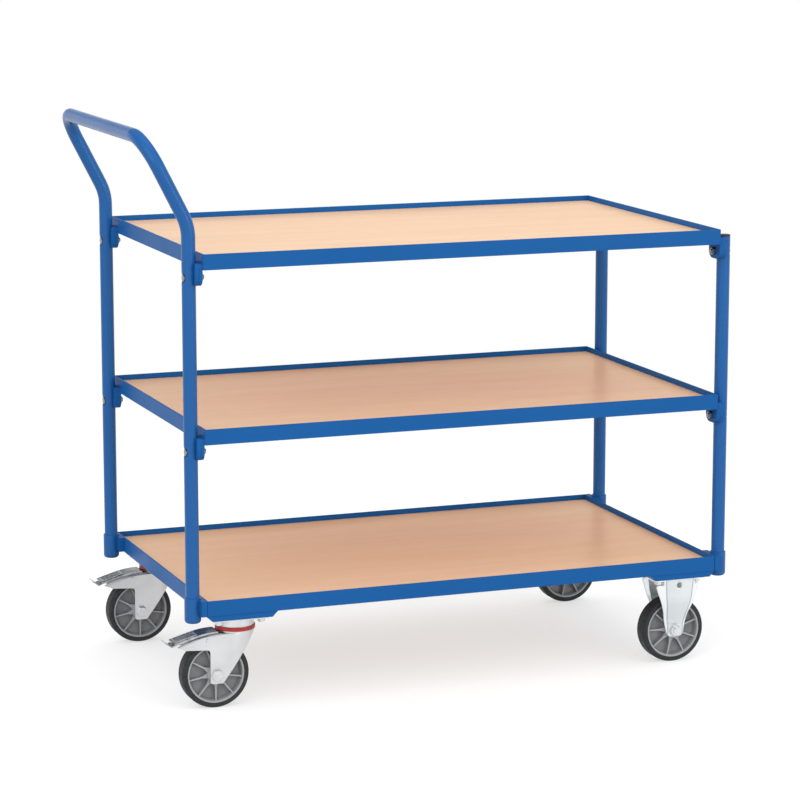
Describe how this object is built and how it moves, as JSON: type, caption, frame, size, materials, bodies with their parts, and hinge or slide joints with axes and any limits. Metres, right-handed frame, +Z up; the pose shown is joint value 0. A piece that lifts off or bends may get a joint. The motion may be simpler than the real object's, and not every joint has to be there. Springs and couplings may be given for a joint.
{
  "type": "table trolley",
  "caption": "Table trolley with decks one above another: blue angle-steel frames and wooden boards on tube posts, a leaning push handle, braked swivel casters below it, fixed casters opposite.",
  "frame": {"origin": "on the floor under the middle of the trolley's overall length and width", "axes": "+X along the trolley away from the push handle, +Y to the left of someone who pushes it, +Z up"},
  "size_m": [1.1436, 0.6, 1.0425],
  "materials": {
    "blue_paint": "glossy blue powder coat",
    "beech_board": "pale beech-effect melamine",
    "zinc_fastener": "bright zinc plate",
    "zinc_sheet": "bright zinc plate",
    "black_cap": "black polyethylene",
    "red_seal": "red moulded plastic",
    "brake_rubber": "dark rubber",
    "grey_rim": "mid grey moulded plastic",
    "grey_tyre": "dark grey thermoplastic rubber"
  },
  "bodies": {
    "frame": {"upper_frame": "blue_paint", "middle_frame": "blue_paint", "lower_frame": "blue_paint", "upper_tabs": "blue_paint", "middle_tabs": "blue_paint", "push_handle": "blue_paint", "post_right": "blue_paint", "post_left": "blue_paint", "corner_sleeves": "blue_paint", "sleeve_saddles": "blue_paint", "swivel_bearer": "blue_paint", "fixed_bearer": "blue_paint", "upper_board": "beech_board", "middle_board": "beech_board", "lower_board": "beech_board", "shelf_bolts": "zinc_fastener", "shelf_nuts": "zinc_fastener", "caster_bolts": "zinc_fastener", "caster_nuts": "zinc_fastener", "kingpins": "zinc_fastener", "ball_races": "zinc_fastener", "fixed_axle_bolts": "zinc_fastener", "fixed_axle_nuts": "zinc_fastener", "fixed_axle_sleeves": "zinc_fastener", "swivel_plate_right": "zinc_sheet", "swivel_plate_left": "zinc_sheet", "fixed_fork_right": "zinc_sheet", "fixed_fork_left": "zinc_sheet", "post_caps": "black_cap", "seal_rings": "red_seal"},
    "swivel_right": {"swivel_fork_right": "zinc_sheet", "axle_bolt_right": "zinc_fastener", "axle_nut_right": "zinc_fastener", "axle_sleeve_right": "zinc_fastener", "brake_pin_right": "zinc_fastener"},
    "brake_right": {"brake_pedal_right": "zinc_sheet", "brake_shoe_right": "brake_rubber"},
    "swivel_wheel_right": {"swivel_rim_right": "grey_rim", "swivel_tyre_right": "grey_tyre"},
    "fixed_wheel_right": {"fixed_rim_right": "grey_rim", "fixed_tyre_right": "grey_tyre"},
    "swivel_left": {"swivel_fork_left": "zinc_sheet", "axle_bolt_left": "zinc_fastener", "axle_nut_left": "zinc_fastener", "axle_sleeve_left": "zinc_fastener", "brake_pin_left": "zinc_fastener"},
    "brake_left": {"brake_pedal_left": "zinc_sheet", "brake_shoe_left": "brake_rubber"},
    "swivel_wheel_left": {"swivel_rim_left": "grey_rim", "swivel_tyre_left": "grey_tyre"},
    "fixed_wheel_left": {"fixed_rim_left": "grey_rim", "fixed_tyre_left": "grey_tyre"}
  },
  "joints": [
    {"name": "swivel_turn_right", "type": "hinge", "parent": "frame", "child": "swivel_right", "pos_m": [-0.39426, -0.248, 0.14], "axis": [0, 0, 1], "continuous": true},
    {"name": "swivel_roll_right", "type": "hinge", "parent": "swivel_right", "child": "swivel_wheel_right", "pos_m": [-0.43526, -0.248, 0.0625], "axis": [0, 1, 0], "continuous": true},
    {"name": "brake_press_right", "type": "hinge", "parent": "swivel_right", "child": "brake_right", "pos_m": [-0.45156, -0.248, 0.12714], "axis": [0, -1, 0], "range_deg": [0, 12]},
    {"name": "fixed_roll_right", "type": "hinge", "parent": "frame", "child": "fixed_wheel_right", "pos_m": [0.47074, -0.248, 0.0625], "axis": [0, 1, 0], "continuous": true},
    {"name": "swivel_turn_left", "type": "hinge", "parent": "frame", "child": "swivel_left", "pos_m": [-0.39426, 0.248, 0.14], "axis": [0, 0, 1], "continuous": true},
    {"name": "swivel_roll_left", "type": "hinge", "parent": "swivel_left", "child": "swivel_wheel_left", "pos_m": [-0.43526, 0.248, 0.0625], "axis": [0, 1, 0], "continuous": true},
    {"name": "brake_press_left", "type": "hinge", "parent": "swivel_left", "child": "brake_left", "pos_m": [-0.45156, 0.248, 0.12714], "axis": [0, -1, 0], "range_deg": [0, 12]},
    {"name": "fixed_roll_left", "type": "hinge", "parent": "frame", "child": "fixed_wheel_left", "pos_m": [0.47074, 0.248, 0.0625], "axis": [0, 1, 0], "continuous": true}
  ]
}
